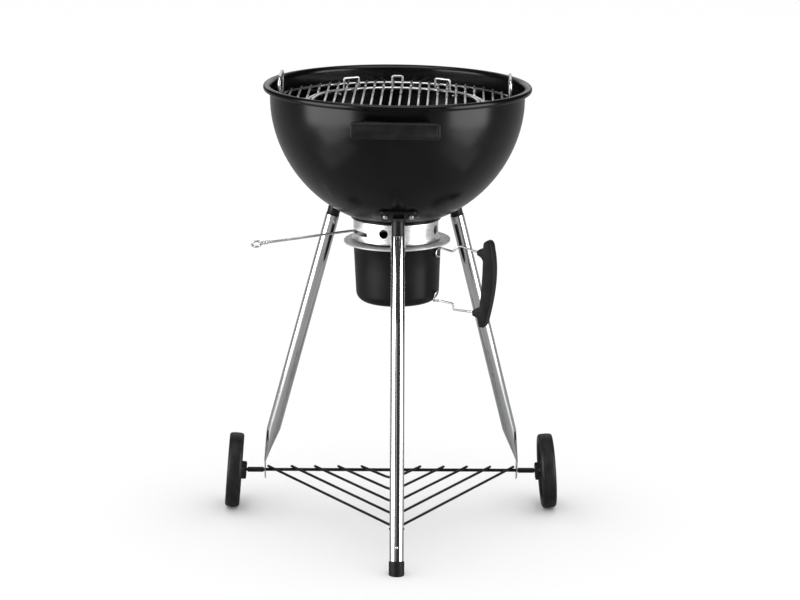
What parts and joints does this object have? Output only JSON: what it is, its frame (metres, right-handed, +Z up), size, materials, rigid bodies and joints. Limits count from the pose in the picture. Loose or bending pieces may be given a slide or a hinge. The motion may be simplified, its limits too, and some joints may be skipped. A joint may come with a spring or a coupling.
{
  "type": "kettle charcoal grill",
  "caption": "Open kettle charcoal grill on a wheeled tripod: enamelled bowl, wire cooking grate with lift-out centre, lever-worked ash sweeper, drop-off ash bucket and wire shelf.",
  "frame": {"origin": "on the ground, below the middle of the grill's plan outline; the bowl's axis stands 14.9 mm behind it", "axes": "+Z up, -Y towards the single front leg, +X towards the ash bucket's handle"},
  "size_m": [0.6222, 0.5726, 0.8375],
  "materials": {
    "enamel": "gloss porcelain enamel on pressed steel",
    "black_paint": "satin black powder coat",
    "bucket_black": "semi-matt black enamel",
    "grip_plastic": "fine-textured black moulded nylon",
    "wheel_plastic": "matt black moulded plastic",
    "leg_chrome": "bright plated tube",
    "plated_wire": "nickel-plated wire",
    "bright_steel": "bright galvanised sheet",
    "steel": "plain steel"
  },
  "bodies": {
    "stand": {"bowl_wall": "enamel", "bowl_rim": "enamel", "bowl_floor": "enamel", "collar_band": "enamel", "grate_support_right": "enamel", "grate_support_rear": "enamel", "grate_support_left": "enamel", "grate_support_front": "enamel", "front_handle_grip": "grip_plastic", "rear_handle_grip": "grip_plastic", "foot_cap": "grip_plastic", "front_handle_bracket": "black_paint", "rear_handle_bracket": "black_paint", "front_handle_bolt_left": "steel", "front_handle_bolt_right": "steel", "rear_handle_bolt_left": "steel", "rear_handle_bolt_right": "steel", "leg_socket_front": "black_paint", "leg_socket_rear_left": "black_paint", "leg_socket_rear_right": "black_paint", "socket_bolt_front_a": "bright_steel", "socket_bolt_front_b": "bright_steel", "socket_bolt_rear_left_a": "bright_steel", "socket_bolt_rear_left_b": "bright_steel", "socket_bolt_rear_right_a": "bright_steel", "socket_bolt_rear_right_b": "bright_steel", "leg_front": "leg_chrome", "leg_rear_left": "leg_chrome", "leg_rear_right": "leg_chrome", "shelf_pin": "black_paint", "wire_shelf": "black_paint", "axle": "black_paint", "axle_sleeve_left": "black_paint", "axle_sleeve_right": "black_paint", "wheel_retainer_left": "black_paint", "wheel_retainer_right": "black_paint", "ash_collar": "bright_steel"},
    "left_wheel": {"wheel_left": "wheel_plastic"},
    "right_wheel": {"wheel_right": "wheel_plastic"},
    "sweeper": {"sweep_shaft": "steel", "sweep_blade_a": "steel", "sweep_blade_b": "steel", "sweep_blade_c": "steel", "blade_hub": "steel", "blade_nut": "bright_steel", "vent_lever": "plated_wire"},
    "ash_catcher": {"bucket_flange": "bright_steel", "ash_bucket": "bucket_black", "ash_handle_grip": "grip_plastic", "handle_wire_upper": "plated_wire", "handle_wire_lower": "plated_wire"},
    "main_grate": {"cooking_grate": "plated_wire", "grate_handle_left": "plated_wire", "grate_handle_right": "plated_wire", "grate_loop": "plated_wire"},
    "grate_centre": {"centre_grate_insert": "plated_wire"},
    "coal_grate": {"charcoal_grate": "steel"}
  },
  "joints": [
    {"name": "left_wheel_spin", "type": "hinge", "parent": "stand", "child": "left_wheel", "pos_m": [-0.2932, 0.12952, 0.07], "axis": [0.9976, 0, -0.0698], "continuous": true},
    {"name": "right_wheel_spin", "type": "hinge", "parent": "stand", "child": "right_wheel", "pos_m": [0.2932, 0.12952, 0.07], "axis": [0.9976, 0, 0.0698], "continuous": true},
    {"name": "sweeper_turn", "type": "hinge", "parent": "stand", "child": "sweeper", "pos_m": [0, 0.01492, 0.556], "axis": [0, 0, 1], "range_deg": [-31, 31]},
    {"name": "bucket_drop", "type": "slide", "parent": "stand", "child": "ash_catcher", "axis": [0, 0, -1], "range_m": [0, 0.12]},
    {"name": "grate_lift", "type": "slide", "parent": "stand", "child": "main_grate", "axis": [0, 0, 1], "range_m": [0, 0.25]},
    {"name": "centre_lift", "type": "slide", "parent": "main_grate", "child": "grate_centre", "axis": [0, 0, 1], "range_m": [0, 0.15]},
    {"name": "coal_grate_lift", "type": "slide", "parent": "stand", "child": "coal_grate", "axis": [0, 0, 1], "range_m": [0, 0.1]}
  ]
}
